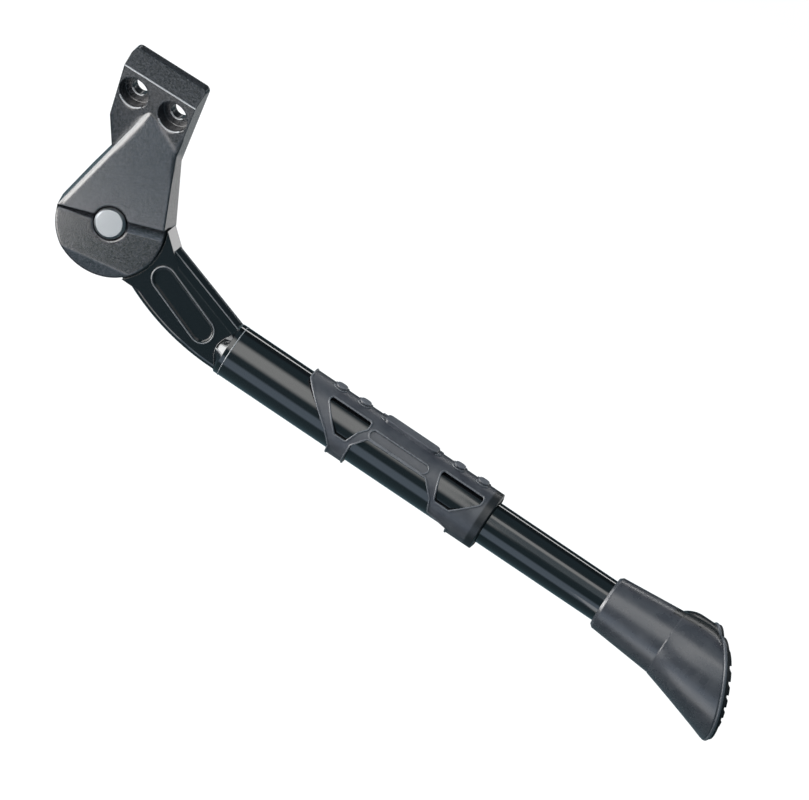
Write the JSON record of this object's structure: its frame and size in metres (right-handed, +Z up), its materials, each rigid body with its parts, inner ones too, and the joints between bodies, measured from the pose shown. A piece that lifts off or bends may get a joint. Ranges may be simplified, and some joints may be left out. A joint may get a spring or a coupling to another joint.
{
  "type": "bicycle kickstand",
  "caption": "Length-adjustable bicycle kickstand: a slanting pivot bracket for the rear frame, a folding leg with telescopic tubes, a rubber sleeve and a rubber foot.",
  "frame": {"origin": "midway between the two bolt holes, on the flat mounting face", "axes": "+X along the bolt holes towards the folded leg, +Y out of the mounting face towards the bicycle, +Z up"},
  "size_m": [0.3246, 0.0566, 0.1427],
  "materials": {
    "coated_casting": "satin black coating with a fine grain",
    "gloss_casting": "gloss black coating",
    "gloss_tube": "gloss black coating",
    "plated_steel": "bright zinc plating",
    "spring_steel": "plain oiled steel",
    "bronze": "sintered, oiled",
    "bearing_plastic": "smooth matt black",
    "sleeve_rubber": "fine matt black",
    "foot_rubber": "matt black"
  },
  "bodies": {
    "bracket": {"mounting_bracket": "coated_casting", "pivot_pin": "plated_steel", "retaining_ring": "spring_steel", "detent_spring": "spring_steel", "spring_keeper": "spring_steel"},
    "leg": {"leg_knuckle": "gloss_casting", "pivot_bush": "bronze", "outer_thrust_washer": "bearing_plastic", "inner_thrust_washer": "bearing_plastic", "spigot_pin": "spring_steel", "outer_tube": "gloss_tube", "grip_sleeve": "sleeve_rubber", "guide_bush": "bearing_plastic"},
    "lower_leg": {"inner_tube": "gloss_tube", "tube_glide": "bearing_plastic", "button_spring": "spring_steel", "end_plug": "bearing_plastic", "foot_shoe": "foot_rubber", "foot_sole": "foot_rubber"},
    "button": {"snap_button": "plated_steel"}
  },
  "joints": [
    {"name": "leg_swing", "type": "hinge", "parent": "bracket", "child": "leg", "pos_m": [0.0042, -0.0128, -0.0544], "axis": [0.1325, -0.9137, 0.3843], "range_deg": [-105, 0], "deforming": ["detent_spring"]},
    {"name": "length_adjust", "type": "slide", "parent": "leg", "child": "lower_leg", "axis": [0.9891, 0.0968, -0.1109], "range_m": [-0.044, 0.022]},
    {"name": "button_press", "type": "slide", "parent": "lower_leg", "child": "button", "axis": [-0.0642, -0.3948, -0.9165], "range_m": [0, 0.0026], "stiffness_N_per_m": 1500, "springref_m": -0.002, "deforming": ["button_spring"]}
  ]
}
